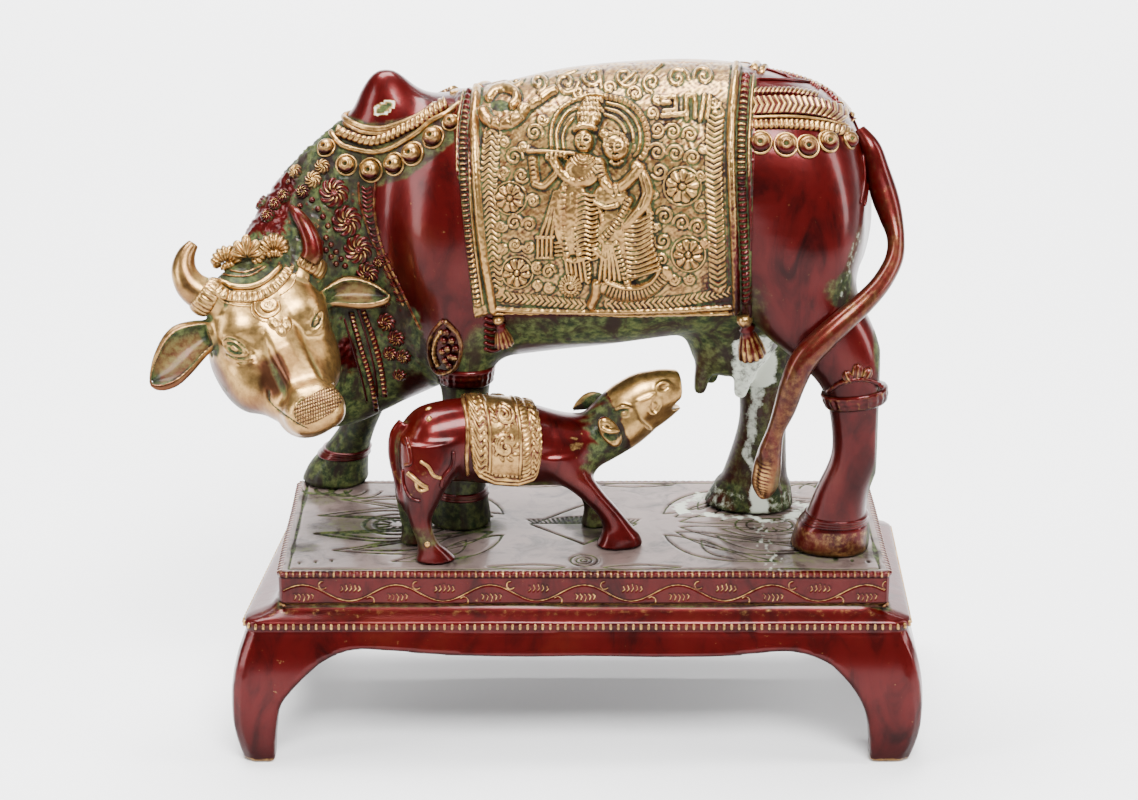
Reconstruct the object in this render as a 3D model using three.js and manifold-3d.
// Kamdhenu cow statue: a humped cow and her calf, cast in brass, on a low table-shaped base.
// Millimetres, +Z up. The origin is on the floor, under the middle of the footprint.
import * as THREE from 'three';
import { mergeVertices } from 'three/addons/utils/BufferGeometryUtils.js';
import Module from 'manifold-3d';

const wasm = await Module();
wasm.setup();

// Base
const TABLE_HEIGHT = 62;
const SLAB_LENGTH = 190;
const SLAB_DEPTH = 79.5;
const SLAB_HEIGHT = 12.5;
const SLAB_BACKSET = 4;
const RIM_BEAD = 0.8;
const GROOVE_DEPTH = 1.4;
const GROOVE_HEIGHT = 1.2;
const LEDGE_SIDE = 7.7;
const LEDGE_FRONT = 3.6;
const LEDGE_FALL = 3;
const TIER_SKEW = 2.2;
const TIER_TAPER = 1.4;
const APRON_BOTTOM = 35;
const LEG_SPLAY = 4.4;
const SPLAY_HEIGHT = 18;
const LEG_WIDTH = 10;
const LEG_DEPTH = 11;
const BRACKET_RADIUS = 15;
const WALL = 3.5;
const CORNER_RADIUS = 2;

// Animals: each keeps its pose and carving as shares of its own height
const COW_HEIGHT = 150;
const COW_TURN = -9;
const COW_PLACE = [3, 5];
const CALF_HEIGHT = 54;
const CALF_TURN = 13;
const CALF_PLACE = [-21, -19.8];
const SEAT_GAP = 0.25;

// Cow drawn at 150 mm from the feet to the back, calf at 54 mm to the top of its lifted head
const cowUnit = COW_HEIGHT / 150;
const calfUnit = CALF_HEIGHT / 54;

// Maroon lacquer on brass, a little darker on the base and browner on the calf
const lacquer = (color) => new THREE.MeshStandardMaterial({ color, roughness: 0.3, metalness: 0.6 });

const radians = THREE.MathUtils.degToRad;
const vec = (x, y, z) => new THREE.Vector3(x, y, z);

// A closed mesh as a solid for joins and cuts
function solid(geometry) {
  const bare = geometry.clone();
  bare.deleteAttribute('normal');
  bare.deleteAttribute('uv');
  const merged = mergeVertices(bare, 1e-5);
  return new wasm.Manifold(new wasm.Mesh({
    numProp: 3,
    vertProperties: new Float32Array(merged.attributes.position.array),
    triVerts: new Uint32Array(merged.index.array),
  }));
}

function join(parts) {
  return parts.reduce((whole, part) => whole.add(part));
}

function asMesh(name, body, material) {
  const mesh = body.getMesh();
  const geometry = new THREE.BufferGeometry();
  geometry.setAttribute('position', new THREE.Float32BufferAttribute(mesh.vertProperties, 3));
  geometry.setIndex(Array.from(mesh.triVerts));
  geometry.computeVertexNormals();
  const piece = new THREE.Mesh(geometry, material);
  piece.name = name;
  return piece;
}

// Value at t along a row of number lists, by a Catmull-Rom curve through them
function along(rows, t) {
  const last = rows.length - 1;
  const span = Math.min(Math.floor(t), last - 1);
  const f = t - span;
  const at = (i) => rows[Math.max(0, Math.min(last, i))];
  const [a, b, c, d] = [at(span - 1), at(span), at(span + 1), at(span + 2)];
  return b.map((value, i) => {
    const inward = (c[i] - a[i]) / 2;
    const outward = (d[i] - b[i]) / 2;
    const step = c[i] - value;
    return value + f * (inward + f * (3 * step - 2 * inward - outward + f * (inward + outward - 2 * step)));
  });
}

// The row whose number in one column has the given value, for rows in order of that column
function rowAt(rows, column, value) {
  const rising = rows[rows.length - 1][column] > rows[0][column];
  let low = 0;
  let high = rows.length - 1;
  for (let i = 0; i < 30; i++) {
    const middle = (low + high) / 2;
    if ((along(rows, middle)[column] < value) === rising) low = middle;
    else high = middle;
  }
  return along(rows, low);
}

// A closed skin through rings of points, each end closed by a fan
function skin(rings) {
  const sides = rings[0].length;
  const points = rings.flat();
  const faces = [];
  for (let r = 0; r + 1 < rings.length; r++) {
    for (let s = 0; s < sides; s++) {
      const next = (s + 1) % sides;
      const a = r * sides + s;
      const b = r * sides + next;
      const c = a + sides;
      const d = b + sides;
      faces.push(a, b, c, b, d, c);
    }
  }
  for (const [first, turn] of [[0, 1], [(rings.length - 1) * sides, -1]]) {
    const middle = points.slice(first, first + sides).reduce((sum, p) => sum.add(p), vec(0, 0, 0));
    points.push(middle.divideScalar(sides));
    for (let s = 0; s < sides; s++) {
      const pair = [first + s, first + (s + 1) % sides];
      faces.push(points.length - 1, pair[turn > 0 ? 1 : 0], pair[turn > 0 ? 0 : 1]);
    }
  }
  const geometry = new THREE.BufferGeometry();
  geometry.setAttribute('position', new THREE.Float32BufferAttribute(points.flatMap((p) => p.toArray()), 3));
  geometry.setIndex(faces);
  const body = solid(geometry);
  if (body.volume() > 0) return body;
  for (let i = 0; i < faces.length; i += 3) [faces[i], faces[i + 1]] = [faces[i + 1], faces[i]];
  geometry.setIndex(faces);
  return solid(geometry);
}

// How full the corners of trunk sections are; 2 is an ellipse
const FULLNESS = 2.2;

const power = (value, share) => Math.sign(value) * Math.abs(value) ** share;

// A rounded ring: squareness 2 is an ellipse, larger is fuller at the corners
function ring(centre, across, up, sides, squareness = 2) {
  const points = [];
  for (let s = 0; s < sides; s++) {
    const angle = (2 * Math.PI * (s + 0.5)) / sides;
    const x = power(Math.cos(angle), 2 / squareness);
    const y = power(Math.sin(angle), 2 / squareness);
    points.push(centre.clone().addScaledVector(across, x).addScaledVector(up, y));
  }
  return points;
}

// Upright limb from level sections: each row is height, x, y, half length, half width
function limb(rows, unit, sides = 8) {
  return skin(rows.map((row) => {
    const [z, x, y, rx, ry] = row.map((value) => value * unit);
    return ring(vec(x, y, z), vec(rx, 0, 0), vec(0, ry, 0), sides, FULLNESS);
  }));
}

// Cuff standing proud of a limb between two heights
function cuff(rows, unit, low, high, proud) {
  return limb([low, high].map((z) => {
    const [, x, y, rx, ry] = rowAt(rows, 0, z);
    return [z, x, y, rx + proud, ry + proud];
  }), unit);
}

// Trunk from upright sections: each row is x, y, half width, top, bottom, turn of the section in plan
function trunkRing([x, y, half, top, bottom, turn = 0], unit, sides, squareness, proud = 0) {
  const across = vec(Math.sin(radians(turn)), Math.cos(radians(turn)), 0);
  const centre = vec(x, y, (top + bottom) / 2).multiplyScalar(unit);
  const wide = across.multiplyScalar(half * unit + proud);
  return ring(centre, wide, vec(0, 0, ((top - bottom) / 2) * unit + proud), sides, squareness);
}

function trunk(rows, unit, sides = 16, proud = 0) {
  return skin(rows.map((row) => trunkRing(row, unit, sides, FULLNESS, proud)));
}

// Cloth or strap on a trunk: the part of a swollen trunk inside a side-view outline of x, z corners
function cloth(swollen, unit, outline) {
  const shape = new THREE.Shape(outline.map(([x, z]) => new THREE.Vector2(x * unit, z * unit)));
  const geometry = new THREE.ExtrudeGeometry(shape, { depth: 200 * unit, bevelEnabled: false });
  return swollen.intersect(solid(geometry.translate(0, 0, -100 * unit).rotateX(Math.PI / 2)));
}

// Place on the side of a trunk at x, z, with its frame: along the trunk, up the skin and out of it
function onTrunk(rows, unit, x, z, side = -1) {
  const [, y, half, top, bottom] = rowAt(rows, 0, x);
  const tall = (top - bottom) / 2;
  const share = Math.min(0.98, Math.abs(z - (top + bottom) / 2) / tall);
  const out = (1 - share ** FULLNESS) ** (1 / FULLNESS);
  const lean = Math.sign(z - (top + bottom) / 2);
  const normal = vec(0, (side * out ** (FULLNESS - 1)) / half, (lean * share ** (FULLNESS - 1)) / tall).normalize();
  const lengthwise = vec(1, 0, 0);
  const frame = new THREE.Matrix4().makeBasis(lengthwise, vec(0, 0, 0).crossVectors(normal, lengthwise), normal);
  return frame.setPosition(vec(x, y + side * half * out, z).multiplyScalar(unit));
}

// Frame at a free place, facing the given way
function facing(unit, place, way) {
  const normal = vec(...way).normalize();
  const lengthwise = vec(1, 0, 0).addScaledVector(normal, -normal.x).normalize();
  const frame = new THREE.Matrix4().makeBasis(lengthwise, vec(0, 0, 0).crossVectors(normal, lengthwise), normal);
  return frame.setPosition(vec(...place).multiplyScalar(unit));
}

// Soft lump of relief, sunk a little: half length, half width, height and turn in its frame
function lump(frame, unit, long, wide, tall, turn = 0, sides = 6) {
  const rings = [[-0.5, 1], [0.9, 0.6]].map(([height, share]) => {
    const points = [];
    for (let i = 0; i < sides; i++) {
      const angle = (2 * Math.PI * (i + 0.5)) / sides;
      const point = vec(long * share * Math.cos(angle), wide * share * Math.sin(angle), tall * height);
      points.push(point.multiplyScalar(unit).applyAxisAngle(vec(0, 0, 1), radians(turn)).applyMatrix4(frame));
    }
    return points;
  });
  return skin(rings);
}

// Round boss, or a flower where it has petals
function boss(frame, unit, radius, tall, petals = 0) {
  const sides = petals ? petals * 2 : 6;
  const rings = [[-tall, 1], [tall, petals ? 0.8 : 0.7]].map(([height, share]) => {
    const points = [];
    for (let i = 0; i < sides; i++) {
      const angle = (2 * Math.PI * i) / sides;
      const reach = radius * share * (petals && i % 2 ? 0.76 : 1) * unit;
      points.push(vec(reach * Math.cos(angle), reach * Math.sin(angle), height * unit).applyMatrix4(frame));
    }
    return points;
  });
  return skin(rings);
}

// Round bar along points, each row x, y, z, radius and flatness
function bar(rows, unit, sides = 8) {
  const centres = rows.map(([x, y, z]) => vec(x, y, z).multiplyScalar(unit));
  let across = null;
  const rings = rows.map((row, i) => {
    const ahead = centres[Math.min(i + 1, centres.length - 1)].clone();
    ahead.sub(centres[Math.max(i - 1, 0)]).normalize();
    if (!across) across = vec(0, 1, 0).cross(ahead).normalize();
    across.addScaledVector(ahead, -across.dot(ahead)).normalize();
    const up = vec(0, 0, 0).crossVectors(ahead, across);
    const radius = row[3] * unit;
    const flat = row[4] ?? 1;
    return ring(centres[i], across.clone().multiplyScalar(radius), up.multiplyScalar(radius * flat), sides);
  });
  return skin(rings);
}

// A box between two corners
function block(low, high) {
  const size = vec(...high).sub(vec(...low));
  const geometry = new THREE.BoxGeometry(size.x, size.y, size.z);
  geometry.translate((low[0] + high[0]) / 2, (low[1] + high[1]) / 2, (low[2] + high[2]) / 2);
  return solid(geometry);
}

// Cow: torso rows are x, y, half width, top, bottom; the head is at the low end of x
const TORSO = [
  [-66, -2, 19, 128, 40],
  [-56, -1, 24, 134, 43],
  [-44, 0, 27.5, 137.5, 48],
  [-30, 0, 30, 141, 53.5],
  [-12, 0, 32, 145.5, 57],
  [8, 0, 33, 148.5, 60.5],
  [28, 0, 33, 150, 64],
  [46, 0, 32, 149.5, 67],
  [60, 0, 31, 147, 70],
  [71, 0, 28.5, 142.5, 74],
  [79, 0, 24, 135, 80],
  [84.5, 0, 16, 122, 90],
  [86, 0, 7, 112, 100],
];

const NECK = [
  [-46, 0, 25, 134, 46, 0],
  [-60, -1, 23, 134.5, 38.5, -5],
  [-74, -5, 20, 131, 30, -18],
  [-85, -11, 18, 119.5, 24.5, -38],
  [-92, -19, 16.5, 106, 25, -58],
  [-95, -27, 15, 95, 36, -72],
  [-96, -33, 11, 86, 48, -78],
];

const HUMP = [
  [116, -60, 0, 15, 12],
  [128, -62, 0, 13.5, 11],
  [136, -64, 0, 10.5, 8.5],
  [141, -65, 0, 7, 5.6],
  [144, -65.5, 0, 3.8, 3],
  [145, -65.5, 0, 1.5, 1.2],
];

const LIMBS = {
  nearHind: [
    [0, 78, -15.5, 12.6, 11.4],
    [8, 79.2, -16, 11.6, 10.8],
    [11, 80, -16.8, 9.6, 9.2],
    [20, 82, -18, 8.4, 8],
    [33, 86, -20, 7.8, 7.2],
    [44, 86, -21, 8, 7.4],
    [52, 85.2, -21, 9.2, 7.8],
    [58, 83.4, -21, 10.8, 9],
    [65, 79, -20.8, 13.8, 10.4],
    [73, 73, -20.2, 17.4, 11.8],
    [81, 69.5, -19.6, 17, 12.8],
    [89, 67.5, -18.6, 15.8, 13.8],
    [102, 66.5, -17, 17, 14.4],
    [117, 65.5, -14, 14.5, 11.5],
    [130, 65, -10, 9, 7],
  ],
  farHind: [
    [0, 49, 17, 15, 11],
    [7.5, 50.5, 17, 12.5, 10],
    [11, 51.2, 17.2, 10.6, 8.6],
    [28, 53, 18, 7.7, 7.2],
    [40, 53.2, 18.6, 7.7, 7.2],
    [50, 54.5, 19, 9, 7.8],
    [61, 58, 19, 11.8, 9.4],
    [73, 62.5, 19, 15, 11.4],
    [86, 66, 19, 18, 13.2],
    [100, 66.5, 17.4, 17.5, 14.4],
    [116, 65.5, 14, 14.5, 11.5],
    [130, 65, 10, 9, 7],
  ],
  nearFront: [
    [0, -41.5, -12.5, 10, 10.5],
    [7, -41, -13, 8.8, 9.2],
    [15, -40.2, -14, 7.4, 7.8],
    [30, -39.2, -14.6, 6.9, 6.8],
    [44, -38.6, -15.6, 7.4, 7],
    [54, -38.2, -16.6, 8.3, 7.8],
    [64, -38, -17.6, 11, 9.4],
    [75, -38.5, -18, 12.8, 10.4],
    [88, -41, -17.4, 14.2, 11.2],
    [102, -43.5, -15.5, 13.8, 10.8],
    [116, -46, -11, 10, 7],
  ],
  farFront: [
    [0, -90, 17.5, 11, 10.5],
    [6, -88.5, 17.3, 9.6, 9.4],
    [12, -85.5, 17.3, 7.4, 8],
    [20, -81.5, 17.4, 6, 7],
    [31, -77, 17.6, 6.4, 7],
    [43, -72.5, 17.6, 7.6, 7.6],
    [55, -67.5, 17.5, 9.6, 8.6],
    [67, -62.5, 17.5, 12, 10],
    [81, -58, 17, 14, 11.5],
    [95, -55, 15, 13.5, 11],
    [110, -52, 11, 10, 7],
  ],
};

const UDDER = [
  [50.5, 43, 2, 5, 5],
  [53, 43.5, 2, 10, 9],
  [58, 44.5, 2, 13.5, 12],
  [66, 46, 2, 16, 14],
  [76, 48, 2, 18, 15],
];
const TEATS = [[35, -4], [37, 8], [48, -5], [49, 9]];
const TEAT = [[44.5, 0, 0, 1.3, 1.3], [46, 0, 0, 2.1, 2.1], [52, 1, 0, 3, 3], [58, 3, 0, 4, 4]];

const TAIL = [
  [77, 0, 134, 3.4],
  [84.6, 0, 128.2, 3.2],
  [88.5, -1.5, 121.5, 2.9],
  [92.6, -4, 114.5, 2.6],
  [96.2, -8, 107, 2.5],
  [97.2, -12, 100, 2.5],
  [95.2, -19, 93.6, 2.6],
  [90, -27, 88, 2.8],
  [83, -32.5, 83.4, 3.1],
  [77.2, -35.5, 77, 3.3],
  [72, -37, 69.6, 3.4],
  [67.6, -37.5, 61, 3.5],
  [64.2, -37, 52.4, 3.6],
  [61.8, -36.2, 43.6, 3.8],
  [60, -35.4, 34.8, 4.4],
  [59.4, -34.8, 27, 4.9],
  [59.4, -34.4, 21, 3.6],
  [59.6, -34.2, 19.2, 1.5],
];

// Head frame: across the eyes, up the face and out of it, from the point between the eyes
const HEAD_PLACE = [-92.7, -42, 70.6];
const NOSE_AIM = -49.5;
const NOSE_DIP = 33.9;
const HEAD_ROLL = 11;

function headFrame(unit) {
  const down = vec(
    Math.cos(radians(NOSE_AIM)) * Math.cos(radians(NOSE_DIP)),
    Math.sin(radians(NOSE_AIM)) * Math.cos(radians(NOSE_DIP)),
    -Math.sin(radians(NOSE_DIP)),
  );
  const level = vec(-Math.sin(radians(NOSE_AIM)), Math.cos(radians(NOSE_AIM)), 0);
  const across = level.applyAxisAngle(down, radians(HEAD_ROLL));
  const out = vec(0, 0, 0).crossVectors(down, across);
  const frame = new THREE.Matrix4().makeBasis(across, down.clone().negate(), out);
  return frame.setPosition(vec(...HEAD_PLACE).multiplyScalar(unit));
}

// Skull rows: distance up the face, half width, back and front of the section
const SKULL = [
  [25, 8, -10, 5],
  [22, 13, -14, 10],
  [15, 17.5, -20, 10],
  [7, 19.6, -24, 6.5],
  [-1, 19.3, -24.5, 3.6],
  [-9, 17.2, -22.5, 2],
  [-17, 14, -19, 0.8],
  [-25, 10.8, -15, 0.6],
  [-30, 9.4, -11, 1.8],
  [-34, 9.2, -8.6, 3.8],
  [-37, 8, -6.6, 3.2],
  [-38.6, 5, -4.6, 1],
];
const HORN = [
  [14, 15, 6, 5],
  [18, 19, 9, 4.6],
  [20.5, 25, 11, 4],
  [20, 30, 13.5, 3],
  [17, 34, 16, 1.5],
];
const EAR_ROOT = [17, 6, 0];
const EAR_TIP = [40.5, 1.5, -6];
const EAR_HOLLOW = 2.2;

function skull(unit) {
  const rings = [];
  for (const row of SKULL) {
    const [v, half, back, front] = row.map((value) => value * unit);
    rings.push(ring(vec(0, v, (back + front) / 2), vec(half, 0, 0), vec(0, 0, (front - back) / 2), 12, FULLNESS));
  }
  return skin(rings);
}

// Leaf-shaped ear with a raised rim round a hollow
function ear(side, unit) {
  const root = vec(side * EAR_ROOT[0], EAR_ROOT[1], EAR_ROOT[2]);
  const tip = vec(side * EAR_TIP[0], EAR_TIP[1], EAR_TIP[2]);
  const length = tip.clone().sub(root);
  const wide = vec(0, 0.8, 0.6).normalize();
  const thick = length.clone().normalize().cross(wide).normalize();
  const shape = (share, proud) => {
    const rings = [];
    const rows = [[0, 3.5, 3.6], [0.25, 6.4, 3.4], [0.55, 8.2, 2.6], [0.84, 5.8, 2], [1, 1.6, 0.8]];
    for (const [place, half, deep] of rows) {
      const centre = root.clone().addScaledVector(length, 0.5 + (place - 0.5) * share);
      centre.addScaledVector(thick, proud);
      centre.multiplyScalar(unit);
      const across = wide.clone().multiplyScalar(half * share * unit);
      rings.push(ring(centre, across, thick.clone().multiplyScalar(deep * share * unit), 8));
    }
    return skin(rings);
  };
  const forward = Math.sign(thick.z) * EAR_HOLLOW;
  return shape(1, 0).subtract(shape(0.74, forward));
}

// Head dress, in the head frame: brow band with two pendants, a lotus with curled leaves, horn bands
function headDress(unit) {
  const out = [0, 0, 1];
  const brow = [[-15.5, 12, 4], [-10, 11, 8.6], [0, 8, 7.8], [10, 11, 8.6], [15.5, 12, 4]].map((place) => [...place, 2]);
  const hornBand = (side) => bar([[13, 14, 5.6, 5.6], [17, 18, 8.4, 5.8]].map(([u, ...rest]) => [side * u, ...rest]),
    unit, 7);
  return [
    bar(brow, unit, 4),
    boss(facing(unit, [0, 6.5, 6.4], out), unit, 3.9, 1.6),
    boss(facing(unit, [0, 0.5, 4.2], out), unit, 3, 1.4),
    boss(facing(unit, [0, 22, 11], [0, 0.5, 0.9]), unit, 5.6, 3.4, 5),
    ...[-1, 1].flatMap((side) => [
      lump(facing(unit, [side * 7.5, 18.5, 11], [0, 0.4, 0.9]), unit, 3, 4.6, 2.6, 30 * side, 6),
      hornBand(side),
      lump(facing(unit, [side * 14.3, 0, 1.2], [side * 0.5, 0, 0.86]), unit, 2, 3.4, 1.5, 60 * side, 6),
    ]),
  ];
}

// Blanket with its frame, straps and lower edge, and the smaller cloth over the hips
const BLANKET = { front: -26.6, rear: 48.5, low: 77, lowRear: 79.5, lean: -0.13, frame: 3, strap: 4 };
const HIP_CLOTH = { front: 52.5, rear: 84, low: 136.5, lowRear: 131 };

function blanket(unit) {
  const { front, rear, low, lowRear, lean, frame, strap } = BLANKET;
  const top = 160;
  const thin = trunk(TORSO, unit, 16, unit);
  const thick = trunk(TORSO, unit, 16, 1.9 * unit);
  const upright = (x, wide, slope) => [
    [x, low], [x + wide, low], [x + wide + slope * (top - low), top], [x + slope * (top - low), top],
  ];
  return [
    cloth(thin, unit, [[front, low], [rear, lowRear], [rear, top], [front + lean * (top - low), top]]),
    cloth(thick, unit, upright(front - strap, frame + strap, lean)),
    cloth(thick, unit, upright(rear - frame, frame + strap, 0)),
    cloth(thick, unit, [[front, low - 1], [rear, lowRear - 1], [rear, lowRear + frame - 1], [front, low + frame - 1]]),
    cloth(thin, unit, [[HIP_CLOTH.front, HIP_CLOTH.low], [HIP_CLOTH.rear, HIP_CLOTH.lowRear],
      [HIP_CLOTH.rear, top], [HIP_CLOTH.front, top]]),
  ];
}

// Relief of the near panel: two standing figures under a halo. Rows: x, z, half length, half width, height, turn
const FLUTE_PLAYER = [
  [1.6, 132, 3.6, 4.2, 3.4], [0.6, 139, 3.2, 4.6, 3, 6], [-0.4, 123, 5.2, 7, 3.4], [-7.5, 124.6, 6, 2.2, 3, -8],
  [-6, 127.6, 11, 1.3, 3.8, 2], [-0.3, 112.5, 5.4, 8, 3.4], [-2.6, 100, 3.6, 12, 3.2], [3, 99, 3.6, 12.5, 3.2, 8],
  [2.2, 87.6, 4, 2.2, 3.2, -20], [-10, 109, 3, 12, 2.4, -8],
];
const COMPANION = [
  [11.8, 130.6, 3.6, 4, 3.6], [15.8, 127, 3.8, 6, 2.8, 20], [13.8, 120, 5.4, 7, 3.4, 14], [8, 119, 5.6, 2.1, 3.6, -28],
  [15.8, 109, 7, 8.5, 3.4], [18, 98, 9, 11.5, 3.2, 14], [22, 89.6, 9.6, 4.8, 2.8, -14],
];
const PANEL_FLOWERS = [[-21.3, 113.8, 4.4], [-19, 90.8, 4.4], [31.9, 120.7, 5.2], [33.8, 99.1, 4.6]];
const HALO = { x: 6.4, z: 132.5, wide: 15.4, tall: 12.4, bar: 1 };
const CURL = [[-32, 136.2], [-26.4, 134.6], [-20, 135.4], [-16.6, 139.4], [-10.5, 141.6]];

function panelRelief(unit) {
  const at = (x, z, side) => onTrunk(TORSO, unit, x, z, side);
  const onSkin = (x, z, radius) => [...vec(0, 0, 0.8).applyMatrix4(at(x, z)).divideScalar(unit).toArray(), radius];
  const halo = [];
  for (let angle = -10; angle <= 190; angle += 20) {
    const x = HALO.x + HALO.wide * Math.cos(radians(angle));
    halo.push(onSkin(x, HALO.z + HALO.tall * Math.sin(radians(angle)), HALO.bar));
  }
  return [
    ...[...FLUTE_PLAYER, ...COMPANION].map(([x, z, ...size]) => lump(at(x, z), unit, ...size)),
    ...PANEL_FLOWERS.map(([x, z, radius]) => boss(at(x, z), unit, radius, 2.4, 5)),
    bar(halo, unit, 4),
    bar(CURL.map(([x, z]) => onSkin(x, z, 1.8)), unit, 4),
    boss(at(-2.3, 87), unit, 3.6, 2.4),
    lump(at(31, 141.5), unit, 7, 2, 2.2),
    boss(at(10, 108, 1), unit, 13, 2.2, 6),
    ...[[-17, 124], [-15, 90], [37, 128], [38, 92]].map(([x, z]) => boss(at(x, z, 1), unit, 4.4, 2.2)),
  ];
}

// Collars round the hump with bells, garlands down the neck, leg bands and tassels
const COLLAR = [[-37, -4, 137.6], [-48, -7.5, 134.6], [-60, -11.4, 130], [-69, -12, 128.4], [-76, -7, 129.4]];
const LOW_COLLAR = [[-38, -11, 136], [-47, -15, 130.8], [-60, -16.6, 124.6], [-74, -13.4, 124], [-81, -6, 124.6]];
const BELLS = [[-42, -15.2, 132.2], [-47.8, -17.4, 127], [-54.4, -19, 122.6], [-61, -19.4, 118.8], [-68.5, -19, 117],
  [-76, -17, 118], [-82.6, -11.6, 121]];
const HIP_BELLS = [[54.3, 133], [61.3, 132.4], [68, 131.6], [74.4, 130.8], [79.6, 129]];
const NECK_FLOWERS = [[-84, -16.6, 114], [-79.4, -20.4, 107.6], [-75.4, -22.6, 101], [-71.4, -23.8, 94], [-67.6, -24, 87],
  [-63.6, -24, 80]];
const GARLANDS = [
  [[-71.5, -18.6, 117], [-65, -23.2, 98], [-58.7, -24.2, 79.2], [-53.4, -23.4, 67]],
  [[-75, -24.2, 84], [-71, -24, 63], [-68.4, -16.6, 41]],
  [[-71, -24.6, 84], [-67, -23, 63], [-64, -14.6, 42]],
];

function garlands(unit) {
  const across = ([x, y, ...rest]) => [x, -y, ...rest];
  const loop = (near, radius) => {
    const far = [...near].reverse().map(across);
    return bar([...near, ...far].map((place) => [...place, radius]), unit, 4);
  };
  const neckWay = [0.35, -0.94, 0.1];
  const bell = (place, way) => boss(facing(unit, place, way), unit, 3, 2.2);
  const tassel = (x, y, top) => limb([
    [top - 9, x, y, 3.4, 3], [top - 7.5, x, y, 3.6, 3.2], [top - 3, x, y + 1, 2.2, 2], [top, x, y + 1.5, 2.4, 2.4],
  ], unit, 6);
  return [
    loop(COLLAR, 2.2),
    loop(LOW_COLLAR, 1.3),
    ...BELLS.map((place) => bell(place, [0, -0.85, 0.5])),
    ...[BELLS[0], BELLS[2]].map((place) => bell(across(place), [0, 0.85, 0.5])),
    ...HIP_BELLS.map(([x, z]) => boss(onTrunk(TORSO, unit, x, z), unit, 2.8, 2.2)),
    ...NECK_FLOWERS.map((place) => boss(facing(unit, place, neckWay), unit, 4, 2, 5)),
    ...GARLANDS.map((row) => bar(row.map((place) => [...place, 1.2]), unit, 4)),
    cuff(LIMBS.nearFront, unit, 49, 55, 1.2),
    cuff(LIMBS.nearHind, unit, 49.5, 55.5, 1.3),
    cuff(LIMBS.farHind, unit, 48, 53, 1),
    lump(facing(unit, [-42.5, -26.4, 63.8], [0.1, -1, 0]), unit, 4.6, 7.4, 1.6),
    tassel(51.5, -20.5, 77),
    tassel(-28, -23, 74),
  ];
}

function cowBody(unit) {
  const head = headFrame(unit).toArray();
  const horns = [1, -1].map((side) => bar(HORN.map(([u, v, w, r]) => [side * u, v, w, r]), unit, 8));
  const headParts = [skull(unit), ...horns, ear(1, unit), ear(-1, unit), ...headDress(unit)];
  const teats = TEATS.map(([x, y]) => limb(TEAT, unit, 6).translate([x * unit, y * unit, 0]));
  return join([
    trunk(TORSO, unit),
    trunk(NECK, unit, 12),
    limb(HUMP, unit, 10),
    ...Object.values(LIMBS).map((rows) => limb(rows, unit)),
    limb(UDDER, unit),
    ...teats,
    bar(TAIL, unit, 6),
    ...headParts.map((part) => part.transform(head)),
    ...blanket(unit),
    ...panelRelief(unit),
    ...garlands(unit),
  ]);
}

// Calf: the head is at the high end of x and lifted to the udder
const CALF_TORSO = [
  [-38, 0, 4, 38, 29],
  [-36, 0, 8.5, 42, 26],
  [-30, 0, 10.8, 47.5, 24],
  [-18, 0, 11, 49.2, 23],
  [-5, 0, 11, 48.5, 20.5],
  [7, 0, 10.6, 45, 19.5],
  [16, 0, 10, 41, 19.5],
  [23, 0, 7, 38, 22],
];
const CALF_NECK = [
  [12, 0, 31, 9],
  [21, 0, 32, 8.8],
  [28, 0, 34.5, 8.6],
  [34, 0, 38, 9],
  [42, 0, 43, 7.8],
  [49, 0, 46.6, 5.8],
  [54, 0, 48, 4.4],
  [55.5, 0, 48.3, 2.5],
];
const CALF_LIMBS = {
  nearHind: [
    [0, -28, -8.5, 6.5, 4.8],
    [3, -29, -8.6, 4.8, 4],
    [7, -31, -9, 3.1, 3.1],
    [14, -33, -9.2, 3.5, 3.3],
    [21, -32, -9, 5.8, 4.6],
    [30, -29.5, -8, 8.6, 6],
    [39, -28.5, -6, 9, 6],
  ],
  farHind: [
    [0, -30.5, 8.2, 6, 4.8],
    [3, -31.5, 8.4, 4.4, 4],
    [7, -33, 8.8, 3, 3.1],
    [14, -34.3, 9, 2.9, 3.1],
    [21, -33, 8.8, 4.8, 4.2],
    [30, -30, 8, 8, 6],
    [39, -28.5, 6, 9, 6],
  ],
  nearFront: [
    [0, 31, -9, 7.5, 5.5],
    [3.5, 31.3, -9, 6, 5],
    [7, 30, -9, 4.4, 4],
    [12, 26.8, -8.8, 3.9, 3.6],
    [18, 21.5, -8.4, 4.4, 3.8],
    [24, 16, -7.8, 6, 4.6],
    [31, 11, -6.5, 7, 5],
  ],
  farFront: [
    [0, 28.3, 9.5, 5.5, 4.6],
    [3.5, 28.3, 9.4, 4.6, 4],
    [7, 27.4, 9.2, 3.6, 3.5],
    [12, 24.8, 9, 3.5, 3.4],
    [18, 20.2, 8.6, 4.2, 3.6],
    [24, 15.5, 8, 5.8, 4.4],
    [31, 11, 6.5, 7, 5],
  ],
};

const CALF_TAIL = [[-36, 0, 43, 2], [-39, -1, 40, 1.6], [-40, -2.5, 34, 1.5], [-39, -5, 27, 1.5], [-37.5, -7, 21, 2]];
const CALF_BLANKET = { front: 8, rear: -15.5, low: 22.5 };

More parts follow.
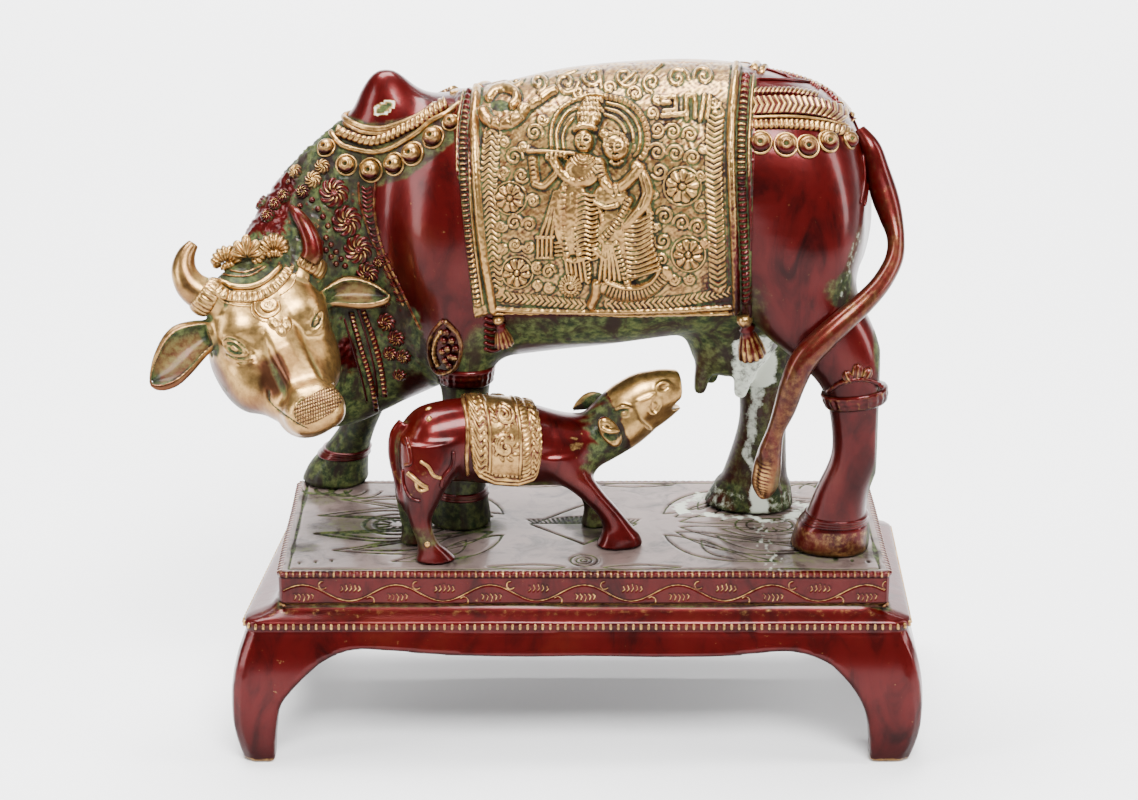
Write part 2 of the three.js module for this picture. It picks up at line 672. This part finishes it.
function calfBody(unit) {
  const { front, rear, low } = CALF_BLANKET;
  const top = 60;
  const thick = trunk(CALF_TORSO, unit, 10, unit);
  const faceSides = [-1, 1].flatMap((side) => [
    lump(facing(unit, [26.5, side * 8.6, 38], [0.1, side, 0.1]), unit, 2.4, 5, 2.4, 40 * side),
    lump(facing(unit, [43.5, side * 6.4, 46.4], [0, side * 0.9, 0.3]), unit, 1.5, 2.1, 0.9, 0, 6),
  ]);
  const flower = (x, z) => boss(onTrunk(CALF_TORSO, unit, x, z), unit, 3.2, 1.5, 6);
  const mouth = block([50 * unit, -9 * unit, 43.3 * unit], [60 * unit, 9 * unit, 44.5 * unit]);
  return join([
    trunk(CALF_TORSO, unit, 10),
    bar(CALF_NECK, unit, 8),
    ...Object.values(CALF_LIMBS).map((rows) => limb(rows, unit, 6)),
    bar(CALF_TAIL, unit, 5),
    ...faceSides,
    cloth(thick, unit, [[rear, low], [front, low], [front, top], [rear, top]]),
    flower(-4, 41.5),
    flower(-4, 33),
  ]).subtract(mouth);
}

// Base: level sections of the outside, hollowed from below, with an arch cut through each side
function baseBody() {
  const slabLong = SLAB_LENGTH / 2;
  const slabDeep = SLAB_DEPTH / 2;
  const tierLong = slabLong + LEDGE_SIDE;
  const tierDeep = slabDeep + LEDGE_FRONT;
  const slabBottom = TABLE_HEIGHT - SLAB_HEIGHT;
  const tierTop = slabBottom - LEDGE_FALL;
  // level outline with rounded corners; a hand-made tier narrows and shifts a little towards the back
  const level = (z, long, deep, uneven = 0) => {
    const corners = [];
    for (const [sx, sy, start] of [[1, 1, 0], [-1, 1, 90], [-1, -1, 180], [1, -1, 270]]) {
      for (const step of [10, 80]) {
        const angle = radians(start + step);
        const reach = long - CORNER_RADIUS - uneven * sy * TIER_TAPER;
        const x = sx * reach + CORNER_RADIUS * Math.cos(angle) + uneven * sy * TIER_SKEW;
        const y = sy * (deep - CORNER_RADIUS) + CORNER_RADIUS * Math.sin(angle);
        corners.push(vec(x, y, z));
      }
    }
    return corners;
  };
  const slab = skin([
    level(tierTop - 4, slabLong - GROOVE_DEPTH, slabDeep - GROOVE_DEPTH),
    level(slabBottom + GROOVE_HEIGHT, slabLong - GROOVE_DEPTH, slabDeep - GROOVE_DEPTH),
    level(slabBottom + GROOVE_HEIGHT + RIM_BEAD, slabLong, slabDeep),
    level(TABLE_HEIGHT - 3 * RIM_BEAD, slabLong - RIM_BEAD / 2, slabDeep - RIM_BEAD / 2),
    level(TABLE_HEIGHT - 2 * RIM_BEAD, slabLong + RIM_BEAD / 2, slabDeep + RIM_BEAD / 2),
    level(TABLE_HEIGHT - RIM_BEAD, slabLong + RIM_BEAD / 2, slabDeep + RIM_BEAD / 2),
    level(TABLE_HEIGHT, slabLong - RIM_BEAD, slabDeep - RIM_BEAD),
  ]);
  const tier = skin([
    level(0, tierLong + LEG_SPLAY * 0.4, tierDeep + LEG_SPLAY, 1),
    level(SPLAY_HEIGHT * 0.5, tierLong + LEG_SPLAY * 0.85, tierDeep + LEG_SPLAY * 1.2, 1),
    level(SPLAY_HEIGHT, tierLong + LEG_SPLAY, tierDeep + LEG_SPLAY * 1.15, 1),
    level((SPLAY_HEIGHT + tierTop) / 2, tierLong + LEG_SPLAY * 0.9, tierDeep + LEG_SPLAY * 0.75, 1),
    level(tierTop - 6 * RIM_BEAD, tierLong + LEG_SPLAY * 0.4, tierDeep + LEG_SPLAY * 0.2, 1),
    level(tierTop - 4 * RIM_BEAD, tierLong - RIM_BEAD, tierDeep - RIM_BEAD, 1),
    level(tierTop - 3 * RIM_BEAD, tierLong, tierDeep, 1),
    level(tierTop, tierLong, tierDeep, 1),
    level(slabBottom, slabLong - GROOVE_DEPTH, slabDeep - GROOVE_DEPTH),
  ]);
  // arch outline: straight apron bottom, round brackets down to the inside of the legs
  const arch = (span) => {
    const shape = new THREE.Shape();
    const spring = APRON_BOTTOM - BRACKET_RADIUS;
    shape.moveTo(-span, -1);
    shape.lineTo(span, -1);
    shape.absarc(span - BRACKET_RADIUS, spring, BRACKET_RADIUS, 0, Math.PI / 2, false);
    shape.absarc(-span + BRACKET_RADIUS, spring, BRACKET_RADIUS, Math.PI / 2, Math.PI, false);
    shape.closePath();
    return shape;
  };
  const reach = 2 * (tierLong + tierDeep);
  const cut = (shape) => {
    const geometry = new THREE.ExtrudeGeometry(shape, { depth: reach, bevelEnabled: false, curveSegments: 4 });
    geometry.translate(0, 0, -reach / 2);
    return geometry.rotateX(Math.PI / 2);
  };
  const inLong = tierLong - WALL - TIER_TAPER;
  const inDeep = tierDeep - WALL;
  const legLong = tierLong - LEG_WIDTH;
  const legDeep = tierDeep - LEG_DEPTH;
  const frontArch = solid(cut(arch(legLong)).translate(-TIER_SKEW, 0, 0));
  const sideArch = solid(cut(arch(legDeep)).rotateZ(Math.PI / 2));
  const underLedge = block([-inLong, -legDeep, -1], [inLong, legDeep, tierTop - WALL]);
  const betweenLegs = block([-legLong, -inDeep, -1], [legLong, inDeep, tierTop - WALL]);
  const slabIn = GROOVE_DEPTH + WALL;
  const underSlab = block(
    [-slabLong + slabIn, -slabDeep + slabIn, -1],
    [slabLong - slabIn, slabDeep - slabIn, TABLE_HEIGHT - WALL],
  );
  return join([slab, tier]).subtract(join([frontArch, sideArch, underLedge, betweenLegs, underSlab]));
}

const statue = new THREE.Group();
const base = asMesh('base', baseBody(), lacquer(0x4a1410));
base.position.y = -SLAB_BACKSET;
statue.add(base);

const cow = asMesh('cow', cowBody(cowUnit), lacquer(0x5c150f));
cow.position.set(...COW_PLACE, TABLE_HEIGHT + SEAT_GAP);
cow.rotation.z = radians(COW_TURN);
statue.add(cow);

const calf = asMesh('calf', calfBody(calfUnit), lacquer(0x66301c));
calf.position.set(...CALF_PLACE, TABLE_HEIGHT + SEAT_GAP);
calf.rotation.z = radians(CALF_TURN);
statue.add(calf);

// The origin goes on the floor under the middle of the footprint
const middle = new THREE.Box3().setFromObject(statue, true).getCenter(vec(0, 0, 0));
statue.position.set(-middle.x, -middle.y, 0);

const model = new THREE.Group();
model.add(statue);
model.updateMatrixWorld(true);

export default model;
